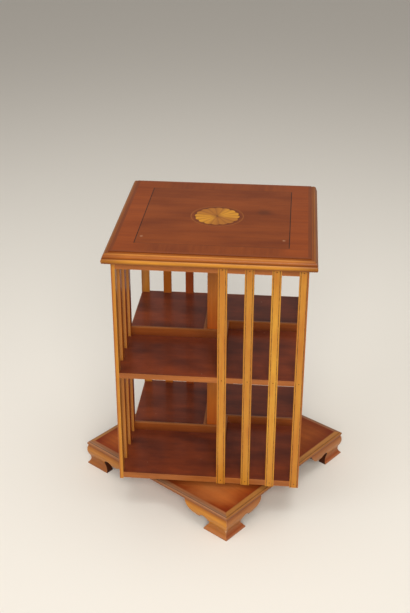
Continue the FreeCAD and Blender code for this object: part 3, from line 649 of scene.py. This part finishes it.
# Lit and shaded copies of the feet's yew, by the way each bracket faces the light
for shade, turn, shades, brackets in (
    ("bright", ALONG_BASE_X, FEET_PAINTED_LIT, ("front_foot_left", "back_foot_left")),
    ("middling", ALONG_BASE_X, FEET_PAINTED_HALF_SHADED, ("left_foot_right", "right_foot_right")),
    ("brown", ALONG_BASE_Y, FEET_PAINTED_SHADED, browner),
):
    carved = varnished(f"carved_{shade}_yew_feet", partial(foot_yew, turn, shades))
    finish([f"{bracket}_bracket" for bracket in brackets], carved)
finish(["foot_glue_blocks"], varnished("sawn_pine", raw_pine, **BARE))

# Turntable
zinc = metal("zinc_plated_steel", "#b4b4b0", "#8e8e8c", roughness=0.38, scratch=0.8 * MM)
finish(["turntable_lower_plate", "turntable_upper_plate"], zinc)
ground = metal("ground_bearing_steel", "#c2c2c4", "#a8a8aa", roughness=0.18, scratch=0.5 * MM)
finish(["turntable_balls"], ground)
finish(["turntable_ball_cage"], moulded_nylon())


# Brads


def slat_brads(head_width, stands_out):
    """Square-headed iron brads, one on each slat at the middle of every board."""
    tree = bpy.data.node_groups.new("slat_brads", "GeometryNodeTree")
    add = partial(node, tree)
    sizes = {
        "First slat": slat_low.x + slat_width / 2,
        "Slat pitch": slat_pitch,
        "Slat face": slat_face,
        "Bottom board": board_middles[0],
        "Middle board": board_middles[1],
        "Top board": board_middles[2],
        "Head width": head_width,
        "Stands out": stands_out,
    }
    sockets = {}
    for name in sizes:
        socket = tree.interface.new_socket(name, in_out="INPUT", socket_type="NodeSocketFloat")
        sockets[name] = socket.identifier
    tree.interface.new_socket("Brads", in_out="OUTPUT", socket_type="NodeSocketGeometry")
    given = add("NodeGroupInput").outputs

    # Brads are counted along a face, then up the boards, then round the faces
    index = add("GeometryNodeInputIndex")
    slat = add("ShaderNodeMath", index, SLATS_PER_FACE, operation="FLOORED_MODULO")
    rows = add("ShaderNodeMath", index, SLATS_PER_FACE, operation="DIVIDE")
    rows = add("ShaderNodeMath", rows, operation="FLOOR")
    board = add("ShaderNodeMath", rows, len(BOARDS), operation="FLOORED_MODULO")
    face = add("ShaderNodeMath", rows, len(BOARDS), operation="DIVIDE")
    face = add("ShaderNodeMath", face, operation="FLOOR")
    quarter = add("ShaderNodeMath", face, math.radians(90), operation="MULTIPLY")
    lower = add("ShaderNodeMix", board, given["Bottom board"], given["Middle board"])
    past_middle = add("ShaderNodeMath", board, 1, operation="SUBTRACT")
    height = add("ShaderNodeMix", past_middle, lower, given["Top board"])
    across = add("ShaderNodeMath", slat, given["Slat pitch"], given["First slat"], operation="MULTIPLY_ADD")
    forward = add("ShaderNodeMath", given["Slat face"], -1, operation="MULTIPLY")
    on_front = add("ShaderNodeCombineXYZ", across, forward, height)
    spot = add("ShaderNodeVectorRotate", Vector=on_front, Angle=quarter, rotation_type="Z_AXIS")
    spots = add("GeometryNodePoints", SLATS_PER_FACE * len(BOARDS) * len(FACES), spot)

    # A head is a four-sided cone cut short, so its radii run to the corners
    corner = add("ShaderNodeMath", given["Head width"], math.sqrt(0.5), operation="MULTIPLY")
    bevelled = add("ShaderNodeMath", corner, 0.7, operation="MULTIPLY")
    depth = given["Stands out"]
    head = add("GeometryNodeMeshCone", Vertices=4, Radius_Top=bevelled, Radius_Bottom=corner, Depth=depth)
    upright = (math.radians(90), math.radians(45), 0)
    head = add("GeometryNodeTransform", Geometry=head, Rotation=upright)
    facing = add("ShaderNodeCombineXYZ", 0, 0, quarter)
    heads = add("GeometryNodeInstanceOnPoints", Points=spots, Instance=head, Rotation=facing)
    iron = metal("blackened_iron", "#2e2722", "#1e1a18", roughness=0.55, scratch=0.4 * MM)
    real = add("GeometryNodeRealizeInstances", heads)
    add("NodeGroupOutput", add("GeometryNodeSetMaterial", real, Material=iron))

    holder = new_object("brad_layout", bpy.data.meshes.new("brad_layout"))
    modifier = holder.modifiers.new("slat_brads", "NODES")
    modifier.node_group = tree
    for name, value in sizes.items():
        modifier[sockets[name]] = value
    laid_out = holder.evaluated_get(bpy.context.evaluated_depsgraph_get())
    mesh = bpy.data.meshes.new_from_object(laid_out)
    holder.modifiers.clear()
    bpy.data.objects.remove(holder)
    return new_object("slat_brads", mesh)


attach(slat_brads(head_width=2.0 * MM, stands_out=0.3 * MM), "case")


# Floor, light and camera


def floor():
    """A plain pale floor, wide enough to fill the view."""
    half = 14.0
    corners = [(-half, -half, 0), (half, -half, 0), (half, half, 0), (-half, half, 0)]
    mesh = bpy.data.meshes.new("floor")
    mesh.from_pydata(corners, [], [(0, 1, 2, 3)])
    material, add = new_material("sealed_pale_screed")
    shader = add("ShaderNodeBsdfPrincipled", Base_Color="#ebe7de", Roughness=0.75)
    add("ShaderNodeOutputMaterial", shader)
    mesh.materials.append(material)
    return new_object("floor", mesh)


def soft_box(name, place, width, power, colour):
    """A square soft box that faces the middle of the bookcase."""
    middle = Vector((0, 0, 0.35))
    lamp = bpy.data.lights.new(name, "AREA")
    lamp.size = width
    lamp.spread = math.radians(80)
    lamp.energy = power
    lamp.color = paint(colour)[:3]
    holder = new_object(name, lamp)
    holder.location = place
    holder.rotation_euler = (middle - Vector(place)).to_track_quat("-Z", "Y").to_euler()


floor()
soft_box("front_light", place=(0.6, -4.8, 3.2), width=2.6, power=47, colour="#fffaf2")
soft_box("left_light", place=(-4.0, -2.7, 3.0), width=3.0, power=12, colour="#fbfaff")
soft_box("ceiling_light", place=(0.3, -0.2, 4.4), width=3.6, power=20, colour="#ffffff")

studio = bpy.data.worlds.new("studio")
studio.use_nodes = True
studio.node_tree.nodes.clear()
surroundings = node(studio.node_tree, "ShaderNodeBackground", Color="#b8b4b0", Strength=0.75)
node(studio.node_tree, "ShaderNodeOutputWorld", surroundings)
bpy.context.scene.world = studio

lens = bpy.data.cameras.new("camera")
lens.sensor_width = 36
lens.lens = 59.78
camera = new_object("camera", lens)
eye = (0.16577, -2.14122, 1.54706)
yaw, pitch, roll = -0.090, 0.477, 0.002
ahead = Vector((math.sin(yaw) * math.cos(pitch), math.cos(yaw) * math.cos(pitch), -math.sin(pitch)))
aim = ahead.to_track_quat("-Z", "Y").to_matrix() @ Matrix.Rotation(roll, 3, "Z")
camera.matrix_world = Matrix.Translation(eye) @ aim.to_4x4()
bpy.context.scene.camera = camera
bpy.context.scene.view_settings.view_transform = "Standard"
